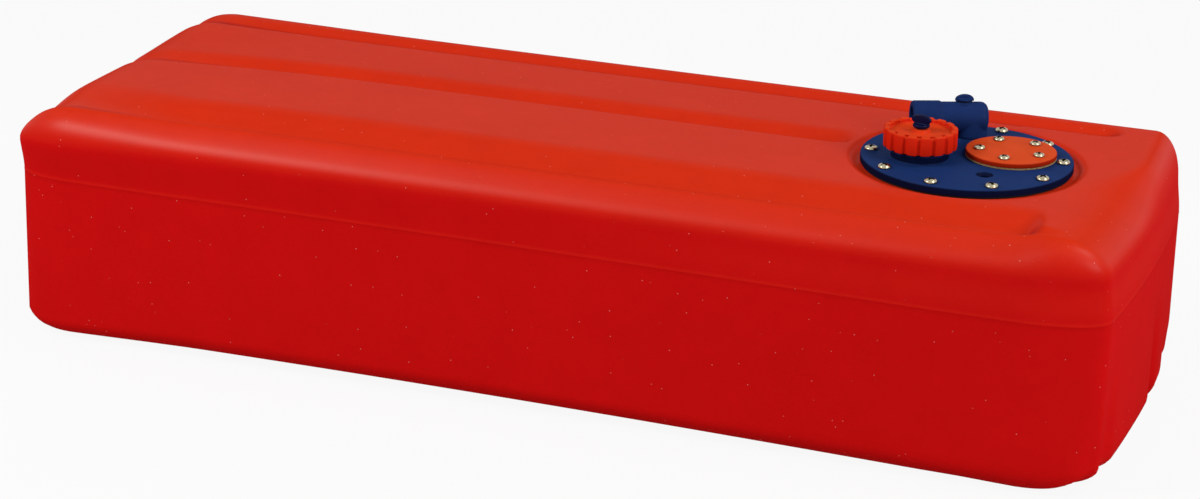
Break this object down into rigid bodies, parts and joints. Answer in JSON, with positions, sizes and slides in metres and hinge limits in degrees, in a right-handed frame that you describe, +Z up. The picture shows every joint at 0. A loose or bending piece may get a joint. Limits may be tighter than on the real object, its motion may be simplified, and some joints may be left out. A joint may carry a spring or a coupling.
{
  "type": "fixed plastic fuel tank",
  "caption": "Long, low moulded fuel tank with lengthwise deck flutes, a bolted round deck flange, screw filler cap with vent thumb screw, outlet elbow and blanked sender port.",
  "frame": {"origin": "middle of the tank's footprint, on the surface that it stands on", "axes": "+X along the tank towards the end with the flange, +Z up, +Y away from the side seen in front"},
  "size_m": [0.9978, 0.3571, 0.2698],
  "materials": {
    "aluminium": "turned",
    "black_nitrile": "matt",
    "brass": "turned",
    "cork_sheet": "granular bonded cork",
    "dark_navy_nylon": "satin injection moulding",
    "natural_polyethylene": "waxy, slightly translucent",
    "navy_nylon": "satin injection moulding",
    "orange_nylon": "satin injection moulding",
    "red_polyethylene": "satin moulded skin with a fine grain",
    "stainless_steel": "polished heads"
  },
  "bodies": {
    "tank": {"flange_gasket": "black_nitrile", "flange_plate": "navy_nylon", "flange_screw_01": "stainless_steel", "flange_screw_02": "stainless_steel", "flange_screw_03": "stainless_steel", "flange_screw_04": "stainless_steel", "flange_screw_05": "stainless_steel", "flange_screw_06": "stainless_steel", "flange_screw_07": "stainless_steel", "flange_screw_08": "stainless_steel", "flange_screw_09": "stainless_steel", "flange_screw_10": "stainless_steel", "outlet_elbow": "navy_nylon", "outlet_nut": "navy_nylon", "outlet_seal": "black_nitrile", "sender_backing_ring": "aluminium", "sender_blank_plate": "orange_nylon", "sender_gasket": "cork_sheet", "sender_screw_1": "stainless_steel", "sender_screw_2": "stainless_steel", "sender_screw_3": "stainless_steel", "sender_screw_4": "stainless_steel", "sender_screw_5": "stainless_steel", "suction_strainer": "natural_polyethylene", "suction_tube": "natural_polyethylene", "tank_shell": "red_polyethylene", "thread_insert_01": "brass", "thread_insert_02": "brass", "thread_insert_03": "brass", "thread_insert_04": "brass", "thread_insert_05": "brass", "thread_insert_06": "brass", "thread_insert_07": "brass", "thread_insert_08": "brass", "thread_insert_09": "brass", "thread_insert_10": "brass"},
    "cap_seal_ring": {"cap_seal": "black_nitrile"},
    "cap_liner_disc": {"cap_liner": "natural_polyethylene"},
    "cap": {"filler_cap": "orange_nylon"},
    "vent_seal_ring": {"cap_vent_seal": "black_nitrile"},
    "vent_thumb_screw": {"cap_vent_screw": "dark_navy_nylon"},
    "bleed_seal_ring": {"bleed_seal": "black_nitrile"},
    "bleed_thumb_screw": {"bleed_screw": "navy_nylon"}
  },
  "joints": [
    {"name": "cap_lift_off", "type": "slide", "parent": "tank", "child": "cap_seal_ring", "axis": [0, 0, 1], "range_m": [0, 0.12]},
    {"name": "cap_rise", "type": "slide", "parent": "cap_seal_ring", "child": "cap_liner_disc", "axis": [0, 0, 1], "range_m": [0, 0.007]},
    {"name": "cap_turn", "type": "hinge", "parent": "cap_liner_disc", "child": "cap", "pos_m": [0.29605, -0.01668, 0.2382], "axis": [0, 0, 1], "range_deg": [0, 720.5]},
    {"name": "vent_rise", "type": "slide", "parent": "cap", "child": "vent_seal_ring", "axis": [0, 0, 1], "range_m": [0, 0.002]},
    {"name": "vent_turn", "type": "hinge", "parent": "vent_seal_ring", "child": "vent_thumb_screw", "pos_m": [0.29605, -0.01668, 0.2506], "axis": [0, 0, 1], "range_deg": [0, 720.5]},
    {"name": "bleed_rise", "type": "slide", "parent": "tank", "child": "bleed_seal_ring", "axis": [0, 0, 1], "range_m": [0, 0.002]},
    {"name": "bleed_turn", "type": "hinge", "parent": "bleed_seal_ring", "child": "bleed_thumb_screw", "pos_m": [0.3156, 0.05618, 0.2594], "axis": [0, 0, 1], "range_deg": [0, 720.5]}
  ],
  "couplings": [
    {"joint": "cap_turn", "follows": "cap_rise", "rad_per_m": 1795.2},
    {"joint": "vent_turn", "follows": "vent_rise", "rad_per_m": 6283.2},
    {"joint": "bleed_turn", "follows": "bleed_rise", "rad_per_m": 6283.2}
  ]
}
